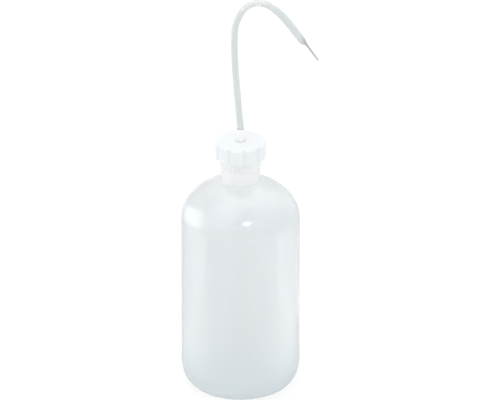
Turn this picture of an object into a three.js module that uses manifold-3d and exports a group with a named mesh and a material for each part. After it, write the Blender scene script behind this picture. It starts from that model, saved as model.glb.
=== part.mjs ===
// Wash bottle: a narrow-neck squeeze bottle with a screw cap, a nozzle insert and a bent delivery tube.
// Millimetres, +Z up. The origin is the centre of the base, on the bottle's axis.
import * as THREE from 'three';
import { mergeVertices } from 'three/addons/utils/BufferGeometryUtils.js';
import Module from 'manifold-3d';

const wasm = await Module();
wasm.setup();

// Bottle body
const BODY_R = 37.5; // 75 mm across
const WALL = 1.2;
const FLOOR = 1.6;
const BASE_CORNER_R = 9.5; // horizontal half-axis of the base's rounded corner
const BASE_CORNER_H = 15.6; // vertical half-axis of that corner
const SHOULDER_Z = 115.3; // the straight wall ends here
const SHOULDER_R = 48.75; // half-axes of the shoulder's superellipse, which is centred past the axis
const SHOULDER_H = 29.7;
const SHOULDER_POWER = 1.92;

// Neck and its finish
const NECK_R = 12.4;
const NECK_BORE_R = 10.9;
const NECK_FOOT_Z = 141.4; // the shoulder runs into the neck here
const COLLAR_Z = 151.4; // the ribbed collar's lower edge
const COLLAR_TOP_Z = 157.5;
const COLLAR_R = 13.6;
const COLLAR_RIBS = 36;
const RIB_DEPTH = 0.35;
const FINISH_R = 11; // root of the external thread
const MOUTH_R = 9.3;
const MOUTH_Z = 155.5; // the bore narrows to the mouth between these two heights
const NECK_BORE_TOP_Z = 153.5;
const RIM_Z = 164.4;
const EDGE = 0.4; // chamfers on rims and corners

// Screw thread, right-handed
const PITCH = 3;
const THREAD_TURNS = 1.25;
const THREAD_Z = 159.6; // centre of the neck's ridge where it starts
const THREAD_CREST_R = 12.4;
const CAP_THREAD_CREST_R = 11.5;
const CAP_THREAD_START = Math.PI / 2; // a quarter turn on from the neck's ridge
const RIDGE_ROOT_W = 1.3;
const RIDGE_CREST_W = 0.7;
const RIDGE_ROOT_DEPTH = 0.4; // how far a ridge reaches into the wall it stands on
const RIDGE_STEPS = 36; // steps in a turn
const RIDGE_FADE = 4; // steps over which a ridge rises at its ends

// Touching pieces stand this far apart
const GAP = 0.3;

// Sealing ring, insert and cap, stacked on the rim
const SEAL_H = 0.8;
const FLANGE_H = 1;
const FLANGE_R = FINISH_R + 0.3; // flange and sealing ring overhang the rim slightly
const SEAL_Z = RIM_Z + GAP;
const FLANGE_Z = SEAL_Z + SEAL_H + GAP;
const CAP_INSIDE_TOP_Z = FLANGE_Z + FLANGE_H + GAP;
const CAP_Z = COLLAR_TOP_Z + GAP;
const CAP_TOP_Z = 168.8;
const CAP_R = 16;
const CAP_INSIDE_R = 12.9;
const CAP_CHAMFER = 1.1;
const GRIP_GROOVES = 10;
const GRIP_GROOVE_R = 1.5;
const GRIP_GROOVE_TURN = 0.75; // the first groove's place, in groove spacings from +X

// Nozzle insert
const PLUG_R = MOUTH_R - 0.4;
const PLUG_WALL = 0.9;
const PLUG_BOTTOM_Z = 158.5;
const SPIGOT_R = 2.85;
const SPIGOT_TOP_Z = 177;
const SOCKET_BOTTOM_Z = 154;
const SOCKET_R = SPIGOT_R + 0.2; // outside of the lower socket
const WEB_BORE_R = 1.2;

// Tubes
const TUBE_R = 2;
const TUBE_BORE_R = 1.2;
const DIP_TUBE_Z = 4;
const DIP_TUBE_CUT = Math.PI / 4; // slant of its lower end
const TUBE_SEAT = 0.4; // a tube stops this short of the insert's web
const JET_LENGTH = 17;
const JET_R = 0.8;
const JET_TIP_R = 0.5;
const JET_BORE_R = 0.3;
const JET_NECK = 2.4; // length over which the tube is drawn down to the jet
const JET_LAP = 0.6; // the drawn end reaches this far back into the tube's wall
const JET_LAP_R = TUBE_R - 0.12;

/** The delivery tube's centre line above the insert, as [x, z]. */
const SPRAY_ROUTE = [
  [0, 177], [-0.9, 188], [-2.2, 204], [-3.4, 222], [-3.8, 239], [-2.6, 250.3], [2.5, 260],
  [8.4, 263.8], [16, 263.2], [24.2, 257.4], [32.3, 247.4], [38.6, 238.2],
];

const ROUND = 60; // segments around the bottle and the cap

/** A lathe solid about Z from [radius, z] points. */
function turned(points, segments = ROUND) {
  const outline = points.map(([r, z]) => new THREE.Vector2(r, z));
  return new THREE.LatheGeometry(outline, segments).rotateX(Math.PI / 2);
}

/** A lathe solid whose outline closes on itself, so that it has a bore. */
function turnedRing(points, segments = ROUND) {
  return turned([...points, points[0]], segments);
}

/** Points of a superellipse arc about (cr, cz) from one angle to another. */
function arc(cr, cz, halfR, halfZ, from, to, steps, power = 2) {
  return Array.from({ length: steps + 1 }, (_, i) => {
    const angle = from + ((to - from) * i) / steps;
    const x = Math.cos(angle);
    const z = Math.sin(angle);
    const bend = (v) => Math.sign(v) * Math.abs(v) ** (2 / power);
    return [cr + halfR * bend(x), cz + halfZ * bend(z)];
  });
}

/** A three.js geometry as a manifold solid. */
function solid(geometry) {
  const bare = geometry.clone();
  bare.deleteAttribute('normal');
  bare.deleteAttribute('uv');
  const merged = mergeVertices(bare, 1e-4);
  const mesh = new wasm.Mesh({
    numProp: 3,
    vertProperties: Float32Array.from(merged.attributes.position.array),
    triVerts: Uint32Array.from(merged.index.array),
  });
  return new wasm.Manifold(mesh);
}

/** A manifold solid as a three.js geometry. */
function geometryOf(manifold) {
  const mesh = manifold.getMesh();
  const geometry = new THREE.BufferGeometry();
  geometry.setAttribute('position', new THREE.BufferAttribute(mesh.vertProperties, 3));
  geometry.setIndex(new THREE.BufferAttribute(mesh.triVerts, 1));
  return geometry;
}

/** A helical ridge that rises by the pitch each turn and fades out at both ends. */
function threadRidge(rootR, crestR, startAngle, startZ, turns) {
  const steps = Math.round(turns * RIDGE_STEPS);
  const positions = [];
  const index = [];
  for (let i = 0; i <= steps; i++) {
    const angle = startAngle + (2 * Math.PI * turns * i) / steps;
    const z = startZ + (PITCH * turns * i) / steps;
    const height = Math.min(1, (Math.min(i, steps - i) + 0.3) / RIDGE_FADE);
    const crest = rootR + (crestR - rootR) * height;
    const section = [
      [rootR, -RIDGE_ROOT_W / 2], [crest, -RIDGE_CREST_W / 2],
      [crest, RIDGE_CREST_W / 2], [rootR, RIDGE_ROOT_W / 2],
    ];
    for (const [r, dz] of section) {
      positions.push(r * Math.cos(angle), r * Math.sin(angle), z + dz);
    }
  }
  for (let i = 0; i < steps; i++) {
    for (let k = 0; k < 4; k++) {
      const a = 4 * i + k;
      const b = 4 * i + ((k + 1) % 4);
      index.push(a, a + 4, b, b, a + 4, b + 4);
    }
  }
  const last = 4 * steps;
  index.push(0, 1, 2, 0, 2, 3, last, last + 2, last + 1, last, last + 3, last + 2);
  if (crestR < rootR) index.reverse();
  const geometry = new THREE.BufferGeometry();
  geometry.setAttribute('position', new THREE.Float32BufferAttribute(positions, 3));
  geometry.setIndex(index);
  return geometry;
}

/** The shoulder from the straight wall up to a radius, inset from the outside by an amount. */
function shoulder(inset, endR, steps) {
  const halfR = SHOULDER_R - inset;
  const halfZ = SHOULDER_H - 1.3 * inset;
  const centreR = BODY_R - SHOULDER_R;
  const reach = ((endR - centreR) / halfR) ** (SHOULDER_POWER / 2);
  return arc(centreR, SHOULDER_Z, halfR, halfZ, 0, Math.acos(reach), steps, SHOULDER_POWER);
}

function bottle() {
  const cornerR = BODY_R - BASE_CORNER_R;
  const innerCornerH = BASE_CORNER_H - FLOOR;
  const outside = [
    [0, 0],
    ...arc(cornerR, BASE_CORNER_H, BASE_CORNER_R, BASE_CORNER_H, -Math.PI / 2, 0, 6),
    ...shoulder(0, NECK_R + 0.5, 10),
    [NECK_R, NECK_FOOT_Z], [NECK_R, COLLAR_TOP_Z - 2 * EDGE],
    [FINISH_R, COLLAR_TOP_Z - EDGE], [FINISH_R, RIM_Z - EDGE], [FINISH_R - EDGE, RIM_Z],
  ];
  const inside = [
    [0, FLOOR],
    ...arc(cornerR, BASE_CORNER_H, BASE_CORNER_R - WALL, innerCornerH, -Math.PI / 2, 0, 5),
    ...shoulder(WALL, NECK_BORE_R, 9),
    [NECK_BORE_R, NECK_BORE_TOP_Z], [MOUTH_R, MOUTH_Z],
    [MOUTH_R, RIM_Z - EDGE], [MOUTH_R + EDGE, RIM_Z],
  ];
  const shell = turned([...outside, ...inside.reverse()]);
  const ridge = threadRidge(FINISH_R - RIDGE_ROOT_DEPTH, THREAD_CREST_R, 0, THREAD_Z, THREAD_TURNS);
  return geometryOf(solid(shell).add(solid(collar())).add(solid(ridge)));
}

/** The collar under the thread: a tapered ring with fine vertical ribs. */
function collar() {
  const ring = turnedRing([
    [NECK_R - 0.6, COLLAR_Z], [NECK_R + 0.3, COLLAR_Z],
    [COLLAR_R, COLLAR_TOP_Z - 1], [COLLAR_R, COLLAR_TOP_Z], [FINISH_R - 0.5, COLLAR_TOP_Z],
    [NECK_R - 0.6, COLLAR_TOP_Z - 2],
  ], 2 * COLLAR_RIBS);
  const at = ring.attributes.position;
  for (let i = 0; i < at.count; i++) {
    const radius = Math.hypot(at.getX(i), at.getY(i));
    const tooth = Math.round((Math.atan2(at.getY(i), at.getX(i)) * COLLAR_RIBS) / Math.PI);
    if (radius < NECK_R || tooth % 2 === 0) continue;
    const scale = (radius - RIB_DEPTH) / radius;
    at.setXY(i, at.getX(i) * scale, at.getY(i) * scale);
  }
  return ring;
}

function screwCap() {
  const body = turnedRing([
    [CAP_INSIDE_R, CAP_Z], [CAP_R - EDGE, CAP_Z], [CAP_R, CAP_Z + EDGE],
    [CAP_R, CAP_TOP_Z - CAP_CHAMFER], [CAP_R - CAP_CHAMFER, CAP_TOP_Z],
    [SPIGOT_R + GAP, CAP_TOP_Z], [SPIGOT_R + GAP, CAP_INSIDE_TOP_Z],
    [CAP_INSIDE_R, CAP_INSIDE_TOP_Z],
  ]);
  const startTurn = CAP_THREAD_START / (2 * Math.PI);
  const startZ = THREAD_Z - PITCH / 2 + PITCH * startTurn;
  const rootR = CAP_INSIDE_R + RIDGE_ROOT_DEPTH;
  const ridge = threadRidge(rootR, CAP_THREAD_CREST_R, CAP_THREAD_START, startZ, THREAD_TURNS);
  let cap = solid(body).add(solid(ridge));
  for (let i = 0; i < GRIP_GROOVES; i++) {
    const angle = (2 * Math.PI * (i + GRIP_GROOVE_TURN)) / GRIP_GROOVES;
    const reach = CAP_R + 0.4 * GRIP_GROOVE_R;
    const height = CAP_TOP_Z - CAP_Z + 2;
    const groove = new THREE.CylinderGeometry(GRIP_GROOVE_R, GRIP_GROOVE_R, height, 10);
    groove.rotateX(Math.PI / 2);
    groove.translate(reach * Math.cos(angle), reach * Math.sin(angle), (CAP_Z + CAP_TOP_Z) / 2);
    cap = cap.subtract(solid(groove));
  }
  return geometryOf(cap);
}

/** Flange, hollow plug and two tube sockets, joined by a web with a small bore. */
function nozzleInsert() {
  const boreR = TUBE_R + GAP;
  const flangeTop = FLANGE_Z + FLANGE_H;
  return turnedRing([
    [WEB_BORE_R, FLANGE_Z], [boreR, FLANGE_Z], [boreR, SOCKET_BOTTOM_Z],
    [SOCKET_R, SOCKET_BOTTOM_Z], [SOCKET_R, FLANGE_Z], [PLUG_R - PLUG_WALL, FLANGE_Z],
    [PLUG_R - PLUG_WALL, PLUG_BOTTOM_Z], [PLUG_R - EDGE, PLUG_BOTTOM_Z], [PLUG_R, PLUG_BOTTOM_Z + 1],
    [PLUG_R, FLANGE_Z], [FLANGE_R, FLANGE_Z], [FLANGE_R, flangeTop],
    [SPIGOT_R, flangeTop], [SPIGOT_R, SPIGOT_TOP_Z - 0.3], [SPIGOT_R - 0.25, SPIGOT_TOP_Z],
    [boreR, SPIGOT_TOP_Z], [boreR, flangeTop], [WEB_BORE_R, flangeTop],
  ], 36);
}

function sealingRing() {
  const top = SEAL_Z + SEAL_H;
  const inner = MOUTH_R + 0.2;
  return turnedRing([[inner, SEAL_Z], [FLANGE_R, SEAL_Z], [FLANGE_R, top], [inner, top]], 48);
}

/** A straight tube whose lower end is cut at a slant, so that it can't seal against the floor. */
function dipTube() {
  const top = FLANGE_Z - TUBE_SEAT;
  const tube = turnedRing(
    [[TUBE_BORE_R, DIP_TUBE_Z], [TUBE_R, DIP_TUBE_Z], [TUBE_R, top], [TUBE_BORE_R, top]],
    20,
  );
  const side = 10 * TUBE_R;
  const cutter = new THREE.BoxGeometry(side, side, side);
  cutter.translate(0, 0, -side / 2).rotateY(DIP_TUBE_CUT).translate(0, 0, DIP_TUBE_Z + TUBE_R);
  return geometryOf(solid(tube).subtract(solid(cutter)));
}

/** The delivery tube, from its socket up and over, with the jet drawn out of its end. */
function sprayTube() {
  const foot = new THREE.Vector3(0, 0, FLANGE_Z + FLANGE_H + TUBE_SEAT);
  const route = SPRAY_ROUTE.map(([x, z]) => new THREE.Vector3(x, 0, z));
  const path = new THREE.CatmullRomCurve3([foot, ...route], false, 'centripetal');
  const ring = new THREE.Shape().absarc(0, 0, TUBE_R, 0, 2 * Math.PI);
  ring.holes.push(new THREE.Path().absarc(0, 0, TUBE_BORE_R, 0, 2 * Math.PI, true));
  const tube = new THREE.ExtrudeGeometry(ring, { steps: 44, curveSegments: 6, extrudePath: path });
  const lapBoreR = TUBE_BORE_R + 0.1;
  const middle = 0.4 * JET_NECK;
  const jet = turnedRing([
    [JET_LAP_R, -JET_LAP], [JET_LAP_R, 0], [0.65 * TUBE_R, middle], [JET_R, JET_NECK],
    [JET_TIP_R, JET_LENGTH], [JET_BORE_R, JET_LENGTH], [JET_BORE_R, JET_NECK + 0.2],
    [0.6 * TUBE_BORE_R, middle], [lapBoreR, 0], [lapBoreR, -JET_LAP],
  ], 12);
  const along = path.getTangent(1);
  const lean = new THREE.Quaternion().setFromUnitVectors(new THREE.Vector3(0, 0, 1), along);
  const end = path.getPoint(1);
  jet.applyQuaternion(lean).translate(end.x, end.y, end.z);
  return geometryOf(solid(tube).add(solid(jet)));
}

const polyethylene = (color, roughness, opacity = 1) =>
  new THREE.MeshStandardMaterial({ color, roughness, metalness: 0, opacity, transparent: opacity < 1 });

const PIECES = [
  ['bottle', bottle, polyethylene(0xdfe6e9, 0.35, 0.5)],
  ['sealing_ring', sealingRing, polyethylene(0xf4f4f0, 0.6)],
  ['nozzle_insert', nozzleInsert, polyethylene(0xf0f3f4, 0.4, 0.9)],
  ['dip_tube', dipTube, polyethylene(0xdde3e4, 0.35, 0.6)],
  ['screw_cap', screwCap, polyethylene(0xf2f5f7, 0.45)],
  ['spray_tube', sprayTube, polyethylene(0xd8dfe0, 0.3, 0.7)],
];

const group = new THREE.Group();
for (const [name, shape, material] of PIECES) {
  const mesh = new THREE.Mesh(shape(), material);
  mesh.name = name;
  group.add(mesh);
}

export default group;
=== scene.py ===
"""A wash bottle's looks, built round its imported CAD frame.

Metres, +Z up, origin at the centre of the base. The delivery tube points along +X, the camera looks along +Y.
Outlines are lists of (r, z), and a third number is the radius of a rounded edge.
"""

import math

import bpy
import numpy as np
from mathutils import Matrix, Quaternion, Vector


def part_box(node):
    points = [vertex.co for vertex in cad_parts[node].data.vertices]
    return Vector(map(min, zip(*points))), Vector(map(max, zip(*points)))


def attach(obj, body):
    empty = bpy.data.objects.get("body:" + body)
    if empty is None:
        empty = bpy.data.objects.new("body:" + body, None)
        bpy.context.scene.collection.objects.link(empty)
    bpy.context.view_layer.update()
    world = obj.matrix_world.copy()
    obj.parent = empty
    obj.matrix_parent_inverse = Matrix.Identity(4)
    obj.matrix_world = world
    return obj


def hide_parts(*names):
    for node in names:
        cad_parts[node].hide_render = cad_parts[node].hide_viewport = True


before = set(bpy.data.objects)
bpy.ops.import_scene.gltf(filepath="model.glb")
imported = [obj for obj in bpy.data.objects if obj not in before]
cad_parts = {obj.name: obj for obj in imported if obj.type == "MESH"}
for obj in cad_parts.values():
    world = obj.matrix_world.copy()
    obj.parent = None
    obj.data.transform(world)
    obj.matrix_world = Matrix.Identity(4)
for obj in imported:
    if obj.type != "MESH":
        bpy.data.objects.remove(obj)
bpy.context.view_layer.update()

MM = 0.001
TAU = 2 * math.pi

# Places and sizes that the CAD nodes give
BOTTLE_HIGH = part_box("bottle")[1]
SEAL_LOW, SEAL_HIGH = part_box("sealing_ring")
INSERT_LOW, INSERT_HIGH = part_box("nozzle_insert")
DIP_LOW, DIP_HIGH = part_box("dip_tube")
CAP_LOW, CAP_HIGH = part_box("screw_cap")
BODY_R = BOTTLE_HIGH.x
RIM_Z = BOTTLE_HIGH.z
CAP_R = CAP_HIGH.x

# Bottle: body and shoulder
WALL = 1.2 * MM
FLOOR = 1.6 * MM
BASE_CORNER_R = 9.5 * MM
BASE_CORNER_H = 15.6 * MM
PUSH_UP = 0.9 * MM  # how far the middle of the base stands off the bench
PUSH_UP_POWER = 0.8
FOOT_R = 24 * MM
SHOULDER_Z = 115.3 * MM
SHOULDER_R = 48.75 * MM
SHOULDER_H = 29.7 * MM
SHOULDER_POWER = 1.92
SHOULDER_THINNING = 1.3  # the inside falls away faster than the wall is thick
SEAM_WIDTH = 0.25 * MM
SEAM_HEIGHT = 0.06 * MM
WAVE_HEIGHT = 0.08 * MM
WAVE_FOOT_Z = 10 * MM
WAVE_EASE = 25 * MM
WAVE_INNER_R = 30 * MM
WAVES = [(1.0, 2, 60, 0), (0.6, 3, -95, 1), (0.4, 5, 140, 0)]  # share, lobes, climb per metre, phase

# Bottle: neck, ribbed collar and threaded finish
NECK_R = 12.4 * MM
NECK_FOOT_Z = 141.25 * MM
NECK_STRAIGHT_Z = 142.4 * MM
NECK_BORE_R = 10.9 * MM
NECK_BORE_FOOT_Z = 140.5 * MM
NECK_BORE_TOP_Z = 153.5 * MM
NECK_STEP = 0.22 * MM  # fine enough to carry the thread
COLLAR_Z = 151.4 * MM
COLLAR_TOP_Z = CAP_LOW.z - 0.3 * MM
COLLAR_R = 13.6 * MM
COLLAR_RIBS = 36
RIB_DEPTH = 0.25 * MM
RIB_GAIN = 1.6  # flatter crests and steeper flanks than a plain wave
RIB_LOSS = 0.3
FINISH_R = 11 * MM
MOUTH_R = 9.3 * MM
MOUTH_FOOT_Z = 155.5 * MM
PITCH = 3 * MM
THREAD_TURNS = 1.25
THREAD_Z = 159.6 * MM
THREAD_H = 1.4 * MM
THREAD_HALF_W = 0.65 * MM
THREAD_FLANK = 0.35 * MM
THREAD_FADE_TURN = 0.07
CAP_THREAD_TURN = 0.25

# Cap
FLANGE_H = 1 * MM
FLANGE_Z = SEAL_HIGH.z + 0.3 * MM
CAP_INSIDE_R = 12.9 * MM
CAP_INSIDE_TOP_Z = FLANGE_Z + FLANGE_H + 0.3 * MM
CAP_EDGE = 1.1 * MM
CAP_SKIN = 1 * MM  # the grooves leave at least this much wall
GROOVES = 10
GROOVE_R = 1.5 * MM
GROOVE_OUT = 0.4  # of its radius, how far a groove's centre lies outside the cap
GROOVE_TURN = 0.75
HOLE_GAP = 0.12 * MM

# Insert and tubes
SPIGOT_R = 2.85 * MM
SPIGOT_RIBS = 12
SPIGOT_RIB_DEPTH = 0.25 * MM
PLUG_WALL = 0.9 * MM
PLUG_GAP = 0.4 * MM
PLUG_BOTTOM_Z = 158.5 * MM
SOCKET_R = 2.3 * MM
WEB_BORE_R = 1.2 * MM
TUBE_R = 2 * MM
SPRAY_R = 2.1 * MM
SWELL = 0.16  # the drawn arm is that much wider at its widest
SWELL_X = 29 * MM
SWELL_REACH = 17 * MM
SWELL_LOW_Z = 235 * MM
SQUEEZE = 0.05  # the bend is that much flatter at its top
SQUEEZE_X = 9 * MM
SQUEEZE_REACH = 14 * MM
SQUEEZE_LOW_Z = 250 * MM
TUBE_BORE_R = 1.2 * MM
TUBE_SIDES = 40
DIP_CUT_FADE = 30 * MM
JET_LENGTH = 17 * MM
JET_TAPER = 4.5 * MM
JET_STEPS = 24
JET_SPACING = 1.4  # stations crowd where the tube necks down
JET_R = 0.8 * MM
JET_TIP_R = 0.42 * MM
JET_BORE_R = 0.3 * MM
JET_OFFSET = 0.8 * MM  # the jet is drawn from the outer side of the tube's bend

# The delivery tube's centre line above the insert, as (x, z) in millimetres
SPRAY_ROUTE = [
    (0, 177), (-0.9, 188), (-2.2, 204), (-3.4, 222), (-3.8, 239), (-2.6, 250.3), (2.5, 260.0),
    (8.4, 263.8), (16, 263.2), (24.2, 257.4), (32.3, 247.4), (38.6, 238.2),
]


# ---------------------------------------------------------------- outlines

NEARLY_HALF = 0.49  # of an edge, the most that one rounded corner may take


def arc(cr, cz, half_r, half_z, start, end, steps, power=2.0):
    """Points of a superellipse arc about (cr, cz)."""
    angle = np.linspace(start, end, steps + 1)
    across = np.cos(angle)
    up = np.sin(angle)
    across = np.sign(across) * np.abs(across) ** (2 / power)
    up = np.sign(up) * np.abs(up) ** (2 / power)
    return list(zip(cr + half_r * across, cz + half_z * up))


def rounded(points, steps=5):
    """An outline whose corners given as (r, z, radius) are rounded off."""
    ends = (0, len(points) - 1)
    out = []
    for i, point in enumerate(points):
        if len(point) < 3 or i in ends:
            out.append(point[:2])
            continue
        here = Vector(point[:2])
        before = Vector(points[i - 1][:2]) - here
        after = Vector(points[i + 1][:2]) - here
        turn = before.angle(after)
        room = NEARLY_HALF * min(before.length, after.length)
        reach = min(point[2] / math.tan(turn / 2), room)
        a = here + before.normalized() * reach
        b = here + after.normalized() * reach
        for k in range(steps + 1):
            t = k / steps
            out.append(tuple(a * (1 - t) ** 2 + here * 2 * t * (1 - t) + b * t ** 2))
    return out


def refined(points, longest):
    """The same outline with no step longer than that, so that relief has rows to work on."""
    out = [points[0]]
    for (r0, z0), (r1, z1) in zip(points, points[1:]):
        parts = max(1, math.ceil(math.hypot(r1 - r0, z1 - z0) / longest))
        for k in range(1, parts + 1):
            out.append((r0 + (r1 - r0) * k / parts, z0 + (z1 - z0) * k / parts))
    return out


# ---------------------------------------------------------------- meshes

SHARP_ANGLE = math.radians(38)
AXIS_R = 1e-7  # nearer the axis than this, a ring of vertices is one pole


def piece(name, points, faces, node, body, material):
    """A smooth mesh piece that stands for a CAD node."""
    mesh = bpy.data.meshes.new(name)
    mesh.from_pydata(points, [], faces)
    mesh.validate()
    mesh.shade_smooth()
    mesh.set_sharp_from_angle(angle=SHARP_ANGLE)
    obj = bpy.data.objects.new(name, mesh)
    bpy.context.scene.collection.objects.link(obj)
    mesh.materials.append(material)
    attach(obj, body)
    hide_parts(node)


def rings(rows, closed):
    """Quads between neighbouring rows of vertex numbers. A row of one number is a pole."""
    faces = []
    pairs = list(zip(rows, rows[1:]))
    if closed:
        pairs.append((rows[-1], rows[0]))
    for low, high in pairs:
        count = max(len(low), len(high))
        for i in range(count):
            j = (i + 1) % count
            if len(low) == 1:
                faces.append((low[0], high[j], high[i]))
            elif len(high) == 1:
                faces.append((low[i], low[j], high[0]))
            else:
                faces.append((low[i], low[j], high[j], high[i]))
    return faces


def turned(outline, columns, relief=None, closed=False):
    """Vertices and faces of an outline turned about Z. relief(r, z, angle) gives the moved r and z."""
    angle = np.arange(columns) * TAU / columns
    points = []
    rows = []
    for r, z in outline:
        if r < AXIS_R:
            rows.append([len(points)])
            points.append((0, 0, z))
            continue
        radii = np.full(columns, r)
        heights = np.full(columns, z)
        if relief:
            radii, heights = relief(radii, heights, angle)
        rows.append(list(range(len(points), len(points) + columns)))
        points += list(zip(radii * np.cos(angle), radii * np.sin(angle), heights))
    return points, rings(rows, closed)


def smooth_step(v):
    t = np.clip(v, 0, 1)
    return t * t * (3 - 2 * t)


def thread_height(z, angle, start_turn, start_z):
    """How much of the ridge's full height stands at (z, angle) on a right-hand thread."""
    height = np.zeros_like(z)
    for lap in range(math.ceil(THREAD_TURNS)):
        turn = (angle / TAU - start_turn) % 1 + lap
        off = np.abs(z - (start_z + PITCH * turn))
        flank = smooth_step((THREAD_HALF_W - off) / THREAD_FLANK)
        run_in = smooth_step(turn / THREAD_FADE_TURN)
        run_out = smooth_step((THREAD_TURNS - turn) / THREAD_FADE_TURN)
        height = np.maximum(height, flank * (run_in * run_out))
    return height


# ---------------------------------------------------------------- pieces

def shoulder(inset, end_r, steps):
    """The shoulder's curve, that far inside the outer wall, from the straight side in to end_r."""
    half_r = SHOULDER_R - inset
    half_z = SHOULDER_H - SHOULDER_THINNING * inset
    centre_r = BODY_R - SHOULDER_R
    reach = ((end_r - centre_r) / half_r) ** (SHOULDER_POWER / 2)
    return arc(centre_r, SHOULDER_Z, half_r, half_z, 0, math.acos(reach), steps, SHOULDER_POWER)


def push_up(steps, floor):
    """The raised middle of the base, from beside the axis to just short of the foot."""
    out = []
    for k in range(1, steps):
        rise = PUSH_UP * math.cos(math.pi / 2 * k / steps) ** PUSH_UP_POWER
        out.append((FOOT_R * k / steps, floor + rise))
    return out


def bottle_relief(r, z, angle):
    """Collar ribs, the thread, the parting line and the slight waviness of a blown wall."""
    on_collar = (z > COLLAR_Z + 0.5 * MM) & (z < COLLAR_TOP_Z - 0.4 * MM) & (r > NECK_R + 0.3 * MM)
    rib = smooth_step(RIB_GAIN * (0.5 + 0.5 * np.cos(COLLAR_RIBS * angle)) - RIB_LOSS)
    r = np.where(on_collar, r - RIB_DEPTH * (1 - rib), r)
    on_finish = (z > COLLAR_TOP_Z) & (r > FINISH_R - 0.05 * MM) & (r < NECK_R)
    r = np.where(on_finish, r + THREAD_H * thread_height(z, angle, 0, THREAD_Z), r)
    from_seam = (angle + TAU / 4) % (TAU / 2) - TAU / 4
    seam = np.exp(-(from_seam * r / SEAM_WIDTH) ** 2)
    on_wall = (z > 1 * MM) & (z < COLLAR_Z) & (r > NECK_R - 0.1 * MM)
    r = np.where(on_wall, r + SEAM_HEIGHT * seam, r)
    body = smooth_step((z - WAVE_FOOT_Z) / WAVE_EASE) * smooth_step((SHOULDER_Z - z) / WAVE_EASE)
    wave = sum(share * np.sin(lobes * angle + climb * z + phase) for share, lobes, climb, phase in WAVES)
    r = np.where(r > WAVE_INNER_R, r + WAVE_HEIGHT * body * wave, r)
    return r, z


def bottle():
    """The blown body, open at the mouth, with its wall's inside."""
    corner_r = BODY_R - BASE_CORNER_R
    inner_corner_r = BASE_CORNER_R - WALL
    inner_corner_h = BASE_CORNER_H - FLOOR
    down = -math.pi / 2
    outside = [(0, PUSH_UP)] + push_up(12, 0.0) + [(FOOT_R, 0.0)]
    outside += arc(corner_r, BASE_CORNER_H, BASE_CORNER_R, BASE_CORNER_H, down, 0, steps=28)
    outside = refined(outside, longest=2 * MM)
    outside += refined(shoulder(0, NECK_R + 1.3 * MM, steps=60), longest=2 * MM)
    neck = rounded([
        outside[-1], (NECK_R + 0.15 * MM, NECK_FOOT_Z, 0.7 * MM), (NECK_R, NECK_STRAIGHT_Z, 0.5 * MM),
        (NECK_R, COLLAR_Z, 0.3 * MM), (NECK_R + 0.45 * MM, COLLAR_Z + 0.15 * MM, 0.25 * MM),
        (COLLAR_R, COLLAR_TOP_Z - 1 * MM, 0.4 * MM), (COLLAR_R, COLLAR_TOP_Z, 0.3 * MM),
        (FINISH_R, COLLAR_TOP_Z, 0.3 * MM), (FINISH_R, RIM_Z, 0.5 * MM), (MOUTH_R, RIM_Z, 0.5 * MM),
        (MOUTH_R, MOUTH_FOOT_Z, 0.6 * MM), (NECK_BORE_R, NECK_BORE_TOP_Z, 0.8 * MM),
        (NECK_BORE_R, NECK_BORE_FOOT_Z),
    ])
    inside = shoulder(WALL, NECK_BORE_R + 0.4 * MM, steps=44)[::-1]
    inside += arc(corner_r, BASE_CORNER_H, inner_corner_r, inner_corner_h, down, 0, steps=20)[::-1]
    inside += push_up(6, FLOOR)[::-1] + [(0, FLOOR + PUSH_UP)]
    outline = outside[:-1] + refined(neck, NECK_STEP) + refined(inside, longest=3.5 * MM)
    points, faces = turned(outline, columns=288, relief=bottle_relief)
    piece("bottle_shell", points, faces, "bottle", "bottle", milky_wall())


def cap_relief(r, z, angle):
    """Grip grooves outside and the thread inside."""
    spacing = TAU / GROOVES
    off = (angle / spacing - GROOVE_TURN + 0.5) % 1 * spacing - spacing / 2
    centre = CAP_R + GROOVE_OUT * GROOVE_R
    across = centre * np.sin(off)
    depth = np.sqrt(np.clip(GROOVE_R ** 2 - across ** 2, 0, None))
    floor_r = centre * np.cos(off) - depth
    in_groove = np.abs(across) < GROOVE_R
    r = np.where((r > CAP_INSIDE_R + CAP_SKIN) & in_groove, np.minimum(r, floor_r), r)
    in_bore = (np.abs(r - CAP_INSIDE_R) < 0.05 * MM) & (z < CAP_INSIDE_TOP_Z - 0.3 * MM)
    start_z = THREAD_Z - PITCH / 2 + PITCH * CAP_THREAD_TURN  # half a pitch off the neck's ridge
    ridge = thread_height(z, angle, CAP_THREAD_TURN, start_z)
    r = np.where(in_bore, r - THREAD_H * ridge, r)
    return r, z


def screw_cap():
    """The screw ring with its centre hole."""
    low = CAP_LOW.z
    top = CAP_HIGH.z
    hole = SPIGOT_R + HOLE_GAP
    outline = rounded([
        (CAP_INSIDE_R, CAP_INSIDE_TOP_Z - 2 * MM), (CAP_INSIDE_R, low, 0.3 * MM), (CAP_R, low, 0.5 * MM),
        (CAP_R, top - CAP_EDGE, 0.5 * MM), (CAP_R - CAP_EDGE, top, 0.6 * MM),
        (hole, top, 0.15 * MM), (hole, CAP_INSIDE_TOP_Z, 0.2 * MM),
        (CAP_INSIDE_R, CAP_INSIDE_TOP_Z, 0.6 * MM), (CAP_INSIDE_R, CAP_INSIDE_TOP_Z - 2 * MM),
    ])[:-1]
    outline = refined(outline, longest=0.4 * MM)
    points, faces = turned(outline, columns=480, relief=cap_relief, closed=True)
    piece("cap_shell", points, faces, "screw_cap", "cap", white_cap())


def insert_relief(r, z, angle):
    """Fine ribs up the spigot."""
    on_spigot = (z > CAP_HIGH.z - 1 * MM) & (z < INSERT_HIGH.z - 0.5 * MM) & (r > SOCKET_R + 0.2 * MM)
    dip = 0.5 - 0.5 * np.cos(SPIGOT_RIBS * angle)
    return np.where(on_spigot, r - SPIGOT_RIB_DEPTH * dip, r), z


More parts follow.
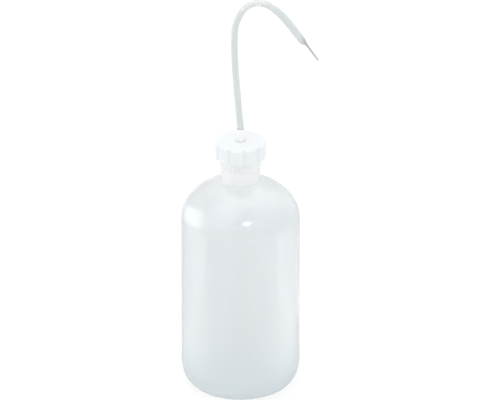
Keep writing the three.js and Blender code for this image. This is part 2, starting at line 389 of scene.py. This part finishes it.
def nozzle_insert():
    """The plug, its flange, the spigot above and the dip tube's socket below, with a drilled web between."""
    flange_r = SEAL_HIGH.x
    flange_top = FLANGE_Z + FLANGE_H
    plug_r = MOUTH_R - PLUG_GAP
    socket_r = SPIGOT_R + 0.2 * MM
    outline = rounded([
        (WEB_BORE_R, FLANGE_Z), (SOCKET_R, FLANGE_Z, 0.2 * MM), (SOCKET_R, INSERT_LOW.z, 0.15 * MM),
        (socket_r, INSERT_LOW.z, 0.2 * MM), (socket_r, FLANGE_Z, 0.4 * MM),
        (plug_r - PLUG_WALL, FLANGE_Z, 0.4 * MM), (plug_r - PLUG_WALL, PLUG_BOTTOM_Z, 0.2 * MM),
        (plug_r - 0.4 * MM, PLUG_BOTTOM_Z, 0.2 * MM), (plug_r, PLUG_BOTTOM_Z + 1 * MM, 0.5 * MM),
        (plug_r, FLANGE_Z, 0.3 * MM), (flange_r, FLANGE_Z, 0.2 * MM), (flange_r, flange_top, 0.2 * MM),
        (SPIGOT_R, flange_top, 0.3 * MM), (SPIGOT_R, INSERT_HIGH.z, 0.25 * MM),
        (SOCKET_R, INSERT_HIGH.z, 0.15 * MM), (SOCKET_R, flange_top, 0.2 * MM),
        (WEB_BORE_R, flange_top, 0.1 * MM), (WEB_BORE_R, FLANGE_Z),
    ])[:-1]
    outline = refined(outline, longest=0.5 * MM)
    points, faces = turned(outline, columns=144, relief=insert_relief, closed=True)
    piece("insert_body", points, faces, "nozzle_insert", "insert", milky_insert())


def sealing_ring():
    """A flat washer with softened edges."""
    inner = MOUTH_R + 0.2 * MM
    outer = SEAL_HIGH.x
    low = SEAL_LOW.z
    top = SEAL_HIGH.z
    middle = (low + top) / 2
    outline = rounded([
        (inner, middle), (inner, low, 0.2 * MM), (outer, low, 0.2 * MM),
        (outer, top, 0.2 * MM), (inner, top, 0.2 * MM), (inner, middle),
    ])[:-1]
    points, faces = turned(outline, columns=120, closed=True)
    piece("seal_washer", points, faces, "sealing_ring", "seal", soft_seal())


def slanted_end(r, z, angle):
    """The lower end is cut at 45 degrees, and the rows above it level out."""
    share = np.clip(1 - (z - DIP_LOW.z) / DIP_CUT_FADE, 0, 1)
    return r, z + share * (TUBE_R - r * np.cos(angle))


def dip_tube():
    """The straight tube from the insert to just above the bottle's floor."""
    low = DIP_LOW.z
    top = DIP_HIGH.z
    mid_bore = (TUBE_BORE_R, low + 20 * MM)
    outline = rounded([
        mid_bore, (TUBE_BORE_R, low, 0.1 * MM), (TUBE_R, low, 0.1 * MM),
        (TUBE_R, top, 0.15 * MM), (TUBE_BORE_R, top, 0.1 * MM), mid_bore,
    ])[:-1]
    outline = refined(outline, longest=6 * MM)
    points, faces = turned(outline, TUBE_SIDES, relief=slanted_end, closed=True)
    piece("dip_tube_body", points, faces, "dip_tube", "insert", dip_tube_plastic())


def catmull_rom(points, per_span):
    """A centripetal Catmull-Rom curve through the points."""
    ends = [2 * points[0] - points[1]] + points + [2 * points[-1] - points[-2]]
    out = []
    for p0, p1, p2, p3 in zip(ends, ends[1:], ends[2:], ends[3:]):
        t0 = 0.0
        t1 = t0 + (p1 - p0).length ** 0.5
        t2 = t1 + (p2 - p1).length ** 0.5
        t3 = t2 + (p3 - p2).length ** 0.5
        for k in range(per_span):
            t = t1 + (t2 - t1) * k / per_span
            a1 = p0 * ((t1 - t) / (t1 - t0)) + p1 * ((t - t0) / (t1 - t0))
            a2 = p1 * ((t2 - t) / (t2 - t1)) + p2 * ((t - t1) / (t2 - t1))
            a3 = p2 * ((t3 - t) / (t3 - t2)) + p3 * ((t - t2) / (t3 - t2))
            b1 = a1 * ((t2 - t) / (t2 - t0)) + a2 * ((t - t0) / (t2 - t0))
            b2 = a2 * ((t3 - t) / (t3 - t1)) + a3 * ((t - t1) / (t3 - t1))
            out.append(b1 * ((t2 - t) / (t2 - t1)) + b2 * ((t - t1) / (t2 - t1)))
    return out + [points[-1]]


def near(p, x, reach, low_z):
    """1 at that x and 0 beyond the reach, for the part of the tube above low_z."""
    return float(smooth_step(1 - abs(p.x - x) / reach)) * float(p.z > low_z)


def spray_stations():
    """(centre, outer radius, bore radius, offset) along the tube and its drawn jet."""
    foot = Vector((0, 0, FLANGE_Z + FLANGE_H + 0.4 * MM))
    line = catmull_rom([foot] + [Vector((x * MM, 0, z * MM)) for x, z in SPRAY_ROUTE], per_span=12)
    along = (line[-1] - line[-2]).normalized()
    stations = []
    for p in line:
        swell = 1 + SWELL * near(p, SWELL_X, SWELL_REACH, SWELL_LOW_Z)
        stations.append((p, SPRAY_R * swell, TUBE_BORE_R * swell, 0.0))
    end, end_r, end_bore, _ = stations[-1]
    for k in range(1, JET_STEPS + 1):
        reach = JET_LENGTH * (k / JET_STEPS) ** JET_SPACING
        t = float(smooth_step(reach / JET_TAPER))
        thin = JET_R + (JET_TIP_R - JET_R) * reach / JET_LENGTH
        outer = end_r * (1 - t) + thin * t
        bore = end_bore * (1 - t) + JET_BORE_R * t
        stations.append((end + along * reach, outer, bore, JET_OFFSET * t))
    return stations


def tube_ring(centre, ahead, radius, offset):
    """A ring of points round the tube, slightly flattened over the bend."""
    up = Vector((-ahead.z, 0, ahead.x))
    squeeze = SQUEEZE * near(centre, SQUEEZE_X, SQUEEZE_REACH, SQUEEZE_LOW_Z)
    middle = centre + up * offset
    ring = []
    for k in range(TUBE_SIDES):
        angle = k * TAU / TUBE_SIDES
        rise = radius * (1 - squeeze) * math.cos(angle)
        side = radius * (1 + squeeze) * math.sin(angle)
        ring.append(tuple(middle + up * rise - Vector((0, side, 0))))
    return ring


def spray_tube():
    """The bent delivery tube, its bore and its jet."""
    stations = spray_stations()
    last = len(stations) - 1
    outer_rings = []
    bore_rings = []
    for i, (centre, outer, bore, offset) in enumerate(stations):
        ahead = (stations[min(i + 1, last)][0] - stations[max(i - 1, 0)][0]).normalized()
        outer_rings.append(tube_ring(centre, ahead, outer, offset))
        bore_rings.append(tube_ring(centre, ahead, bore, offset))
    points = []
    rows = []
    for ring in outer_rings + bore_rings[::-1]:
        rows.append(list(range(len(points), len(points) + TUBE_SIDES)))
        points += ring
    faces = rings(rows, closed=True)
    piece("delivery_tube", points, faces, "spray_tube", "spout", clear_tube())


# ---------------------------------------------------------------- materials

NOISE_LOW = 0.3  # most of a noise lies between these two
NOISE_HIGH = 0.7
MIX_A = 6  # the colour sockets of a Mix node, which share their names with others
MIX_B = 7
MIX_RESULT = 2


class Shader:
    """One Principled material and the helpers that feed it."""

    def __init__(self, name, **sockets):
        self.material = bpy.data.materials.new(name)
        self.material.use_nodes = True
        self.tree = self.material.node_tree
        self.bsdf = self.tree.nodes["Principled BSDF"]
        for socket, value in sockets.items():
            self.bsdf.inputs[socket.replace("_", " ")].default_value = value
        self.place = self.node("ShaderNodeTexCoord").outputs["Object"]

    def node(self, kind, **inputs):
        made = self.tree.nodes.new(kind)
        for key, value in inputs.items():
            made.inputs[key.replace("_", " ")].default_value = value
        return made

    def link(self, a, b):
        self.tree.links.new(a, b)

    def feed(self, value, socket):
        """Link a value to one of the shader's own sockets."""
        self.link(value, self.bsdf.inputs[socket])

    def noise(self, scale, detail=4, stretch=(1, 1, 1)):
        """Noise of that scale, per metre, in the object's own space."""
        mapping = self.node("ShaderNodeMapping", Scale=stretch)
        self.link(self.place, mapping.inputs["Vector"])
        noise = self.node("ShaderNodeTexNoise", Scale=scale, Detail=detail)
        self.link(mapping.outputs["Vector"], noise.inputs["Vector"])
        return noise.outputs["Fac"]

    def axis(self, letter):
        """One coordinate in metres of the point being shaded."""
        split = self.node("ShaderNodeSeparateXYZ")
        self.link(self.place, split.inputs["Vector"])
        return split.outputs[letter]

    def ease(self, value, start, end, low, high):
        """Low before start, high after end, and smooth between them."""
        ramp = self.node("ShaderNodeMapRange", From_Min=start, From_Max=end, To_Min=low, To_Max=high)
        ramp.interpolation_type = "SMOOTHSTEP"
        self.link(value, ramp.inputs["Value"])
        return ramp.outputs["Result"]

    def times(self, a, b):
        product = self.tree.nodes.new("ShaderNodeMath")
        product.operation = "MULTIPLY"
        self.link(a, product.inputs[0])
        self.link(b, product.inputs[1])
        return product.outputs["Value"]

    def mix(self, share, base, colour):
        """The base colour socket blended toward a fixed colour."""
        mix = self.tree.nodes.new("ShaderNodeMix")
        mix.data_type = "RGBA"
        self.link(share, mix.inputs["Factor"])
        self.link(base, mix.inputs[MIX_A])
        mix.inputs[MIX_B].default_value = (*colour, 1)
        return mix.outputs[MIX_RESULT]

    def ramp(self, value, dark, light):
        """A colour that varies with a noise, from dark to light."""
        ramp = self.node("ShaderNodeValToRGB")
        first, second = ramp.color_ramp.elements
        first.position = NOISE_LOW
        first.color = (*dark, 1)
        second.position = NOISE_HIGH
        second.color = (*light, 1)
        self.link(value, ramp.inputs["Fac"])
        return ramp.outputs["Color"]

    def tint(self, value, dark, light):
        self.feed(self.ramp(value, dark, light), "Base Color")

    def rough(self, value, low, high):
        """Roughness that varies with a noise, from low to high."""
        given = {"From_Min": NOISE_LOW, "From_Max": NOISE_HIGH, "To_Min": low, "To_Max": high}
        ramp = self.node("ShaderNodeMapRange", **given)
        self.link(value, ramp.inputs["Value"])
        self.feed(ramp.outputs["Result"], "Roughness")

    def absorb(self, colour, density):
        """Light is lost along its way through the plastic, so that edges seen along the wall are darker."""
        volume = self.node("ShaderNodeVolumeAbsorption", Color=(*colour, 1), Density=density)
        output = self.tree.nodes["Material Output"]
        self.link(volume.outputs["Volume"], output.inputs["Volume"])

    def bump(self, *layers):
        """Stacked bumps, each (height, distance in metres, strength)."""
        below = None
        for height, distance, strength in layers:
            bump = self.node("ShaderNodeBump", Distance=distance, Strength=strength)
            self.link(height, bump.inputs["Height"])
            if below:
                self.link(below, bump.inputs["Normal"])
            below = bump.outputs["Normal"]
        self.feed(below, "Normal")


def milky_wall():
    """Natural soft polyethylene: milky, glossy on the blown outside, less clear at the thick neck, with
    painted shade darkening the colour toward the foot.
    """
    s = Shader("milky_wall", IOR=1.28, Coat_Weight=0.45, Coat_Roughness=0.14, Coat_IOR=2.0)
    cloud = s.noise(28, detail=5, stretch=(1, 1, 0.5))
    haze = s.ramp(cloud, dark=(0.955, 0.984, 0.997), light=(0.972, 0.992, 1.0))
    # Painted shade: the base colour darkens toward the bottle's foot and fades out 50 mm up.
    foot = s.ease(s.axis("Z"), start=0.0, end=0.05, low=1, high=0)
    s.feed(s.mix(foot, haze, colour=(0.905, 0.955, 0.97)), "Base Color")
    s.feed(s.ease(s.axis("Z"), start=0.132, end=0.146, low=0.54, high=0.20), "Transmission Weight")
    s.rough(s.noise(160, detail=3), low=0.50, high=0.58)
    s.absorb(colour=(0.79, 0.84, 0.86), density=190)
    s.bump((s.noise(90, detail=2), 0.00018, 0.25), (s.noise(1400, detail=2), 0.00002, 0.3))
    return s.material


def white_cap():
    """White moulded polypropylene with a fine satin grain."""
    glow = {"Subsurface_Weight": 0.25, "Subsurface_Scale": 0.001, "Subsurface_Radius": (1, 1, 1)}
    s = Shader("white_cap", IOR=1.49, **glow)
    s.tint(s.noise(60), dark=(0.785, 0.82, 0.84), light=(0.815, 0.845, 0.86))
    s.rough(s.noise(400), low=0.32, high=0.42)
    s.bump((s.noise(2500, detail=3), 0.00003, 0.5))
    return s.material


def milky_insert():
    """Natural polyethylene insert, milky and satin."""
    glow = {"Subsurface_Weight": 0.2, "Subsurface_Scale": 0.0005, "Subsurface_Radius": (1, 1, 1)}
    s = Shader("milky_insert", IOR=1.51, **glow)
    s.tint(s.noise(120), dark=(0.935, 0.94, 0.945), light=(0.955, 0.96, 0.965))
    s.rough(s.noise(500), low=0.34, high=0.44)
    s.bump((s.noise(2200), 0.00003, 0.4))
    return s.material


def soft_seal():
    """Soft white gasket sheet, matt and slightly open."""
    s = Shader("soft_seal", IOR=1.46)
    s.tint(s.noise(700), dark=(0.82, 0.82, 0.79), light=(0.90, 0.90, 0.87))
    s.rough(s.noise(900), low=0.6, high=0.75)
    s.bump((s.noise(3000), 0.00006, 0.6))
    return s.material


def dip_tube_plastic():
    """The tube inside the bottle, which hardly shows through the milky wall."""
    s = Shader("dip_tube_plastic", IOR=1.5, Transmission_Weight=0.3)
    s.tint(s.noise(40), dark=(0.83, 0.86, 0.865), light=(0.86, 0.885, 0.89))
    s.rough(s.noise(300), low=0.36, high=0.42)
    s.bump((s.noise(600, detail=2), 0.00003, 0.2))
    return s.material


def clear_tube():
    """Drawn polyethylene tube, hazy, more transmissive at the top of the bend, where a painted highlight
    whitens the colour; painted shade darkens the thin jet.
    """
    s = Shader("clear_tube", IOR=1.5)
    x = s.axis("X")
    high_up = s.ease(s.axis("Z"), start=0.2545, end=0.2595, low=0, high=1)
    # Painted highlight: the top of the bend gets a near-white base colour, and the same mask raises its
    # transmission.
    bend_painted_highlight = s.times(high_up, s.ease(x, start=0.015, end=0.023, low=1, high=0))
    # Painted shade: the thin jet's base colour is darkened to mid grey.
    jet_painted_shade = s.ease(x, start=0.037, end=0.0412, low=0, high=1)
    haze = s.ramp(s.noise(40), dark=(0.725, 0.78, 0.785), light=(0.755, 0.805, 0.81))
    haze_with_painted_highlight = s.mix(bend_painted_highlight, haze, colour=(0.965, 0.98, 0.98))
    s.feed(s.mix(jet_painted_shade, haze_with_painted_highlight, colour=(0.50, 0.515, 0.515)), "Base Color")
    s.feed(s.ease(bend_painted_highlight, start=0, end=1, low=0.16, high=0.42), "Transmission Weight")
    s.rough(s.noise(300), low=0.36, high=0.42)
    s.absorb(colour=(0.70, 0.74, 0.74), density=160)
    s.bump((s.noise(600, detail=2), 0.00003, 0.2))
    return s.material


# ---------------------------------------------------------------- stage, light and camera

STAGE_HALF = 6.0
STAGE_Z = -0.0002  # just under the base
STAGE_GREY = 0.22
STAGE_GLOW = 0.785
MIDDLE = Vector((0, 0, 0.12))  # lights are placed from these three points
WINDOW_FACE = Vector((0, 0, 0.156))
NECK = Vector((0, 0, 0.135))
CAMERA_ANGLE = math.radians(26)
CAMERA_DISTANCE = 6.0
CAMERA_AIM = Vector((0.006, 0, 0.1269))
LENS_PER_METRE = 113.8
SENSOR_WIDTH = 36

# Bright cards on the bench, seen only as soft reflections low in the bottle's sides.
# name, azimuth from the camera's side, offset across, gap to the wall, (length, width), radiance, height
BENCH_CARDS = [
    ("card_left", -71, -0.05, 0.03, (0.3, 0.10), 0.75, 0.001),
    ("card_left_far", -75, -0.10, 0.15, (0.43, 0.20), 0.36, 0.0015),
    ("card_back_left", -117, 0.0, 0.12, (0.16, 0.14), 0.3, 0.0012),
    ("card_right", 76, 0.04, 0.03, (0.2175, 0.08), 0.55, 0.002),
    ("card_right_soft", 52, 0.07, 0.03, (0.2175, 0.14), 0.48, 0.001),
    ("card_right_mid", 78, 0.10, 0.14, (0.1075, 0.20), 0.35, 0.0025),
    ("card_right_far", 78, 0.10, 0.18, (0.0675, 0.20), 0.35, 0.003),
    ("card_right_end", 78, 0.10, 0.22, (0.0275, 0.20), 0.3, 0.0035),
    ("card_right_beyond", 78, 0.10, 0.31, (0.3, 0.30), 1.5, 0.004),
    ("card_back_right", 124, 0.0, 0.09, (0.1575, 0.18), 0.5, 0.0014),
    ("card_front_mid", 17, 0.0, 0.14, (0.4, 0.40), 0.2, 0.0005),
    ("card_front_far", 17, 0.0, 0.19, (0.4, 0.40), 0.25, 0.0008),
]


def softbox(name, place, face, size, radiance, roll=0.0, fill=True, shine=True):
    """A soft rectangular light at place, turned to face a point. It can be kept to fill or to highlights."""
    data = bpy.data.lights.new(name, "AREA")
    data.shape = "RECTANGLE"
    data.size, data.size_y = size
    data.energy = radiance * math.pi * size[0] * size[1]
    obj = bpy.data.objects.new(name, data)
    bpy.context.scene.collection.objects.link(obj)
    obj.location = place
    obj.rotation_mode = "QUATERNION"
    aim = (place - face).to_track_quat("Z", "Y")
    obj.rotation_quaternion = aim @ Quaternion((0, 0, 1), roll)
    obj.visible_diffuse = fill
    obj.visible_transmission = fill
    obj.visible_glossy = shine
    obj.visible_camera = False
    return obj


def bench_card(name, azimuth, offset, gap, size, radiance, lift):
    """A bright card that lies on the bench and runs away from the bottle's wall along the azimuth."""
    turn = math.radians(azimuth)
    away = Vector((math.sin(turn), -math.cos(turn), 0))
    across = Vector((math.cos(turn), math.sin(turn), 0))
    wall = BODY_R * Vector((math.sin(turn / 2), -math.cos(turn / 2), 0))
    place = wall + away * (gap + size[0] / 2) + across * offset
    place.z = lift
    card = softbox(name, place, place + Vector((0, 0, 1)), size, radiance, fill=False)
    heading = math.atan2(away.y, away.x)
    card.rotation_quaternion = Quaternion((0, 0, 1), heading) @ Quaternion((1, 0, 0), math.pi)


def surroundings():
    """A white world and a plain pale floor."""
    scene = bpy.context.scene
    scene.view_settings.view_transform = "Standard"
    world = bpy.data.worlds.new("studio")
    world.use_nodes = True
    sky = world.node_tree.nodes["Background"]
    sky.inputs["Color"].default_value = (1, 1, 1, 1)
    sky.inputs["Strength"].default_value = 1.0
    scene.world = world
    mesh = bpy.data.meshes.new("floor")
    signs = [(-1, -1), (1, -1), (1, 1), (-1, 1)]
    corners = [(x * STAGE_HALF, y * STAGE_HALF, STAGE_Z) for x, y in signs]
    mesh.from_pydata(corners, [], [(0, 1, 2, 3)])
    floor = bpy.data.objects.new("floor", mesh)
    scene.collection.objects.link(floor)
    grey = (STAGE_GREY, STAGE_GREY, STAGE_GREY, 1)
    s = Shader("pale_floor", Base_Color=grey, Roughness=0.9, Specular_IOR_Level=0.1)
    s.bsdf.inputs["Emission Color"].default_value = (1, 1, 1, 1)
    s.bsdf.inputs["Emission Strength"].default_value = STAGE_GLOW
    mesh.materials.append(s.material)


def lights():
    """Soft fill from above, and panels that are seen only as reflections in the plastic."""
    softbox("overhead", NECK + Vector((0.52, 0.355, 0.85)), NECK + Vector((0.52, 0.355, 0)), size=(1.8, 0.91),
            radiance=0.98, roll=math.radians(8), fill=False)
    softbox("window", WINDOW_FACE + Vector((-0.575, 0.17, 0)), WINDOW_FACE, size=(0.62, 0.42),
            radiance=2.2, roll=math.radians(40), fill=False)
    softbox("back_card", NECK + Vector((0.731, 0.682, 0.3)), NECK + Vector((0, 0, 0.3)), size=(0.54, 0.72),
            radiance=0.9, fill=False)
    softbox("lamp", MIDDLE + Vector((0.235, -0.834, 0.83)), MIDDLE, size=(0.22, 0.12),
            radiance=20.0, fill=False)
    softbox("key", MIDDLE + Vector((-0.42, -0.34, 0.84)), MIDDLE, size=(0.7, 0.7), radiance=0.5)
    softbox("top", MIDDLE + Vector((0, 0, 1)), MIDDLE, size=(0.6, 0.6), radiance=1.0, shine=False)
    for card in BENCH_CARDS:
        bench_card(*card)


def camera():
    """A long lens from far away, so that the sides stay parallel."""
    data = bpy.data.cameras.new("camera")
    data.sensor_width = SENSOR_WIDTH
    data.lens = LENS_PER_METRE * CAMERA_DISTANCE
    data.clip_end = 50
    obj = bpy.data.objects.new("camera", data)
    bpy.context.scene.collection.objects.link(obj)
    back = Vector((0, -math.cos(CAMERA_ANGLE), math.sin(CAMERA_ANGLE)))
    obj.location = CAMERA_AIM + back * CAMERA_DISTANCE
    obj.rotation_mode = "QUATERNION"
    obj.rotation_quaternion = back.to_track_quat("Z", "Y")
    bpy.context.scene.camera = obj


camera()
surroundings()
lights()
bottle()
screw_cap()
nozzle_insert()
sealing_ring()
dip_tube()
spray_tube()
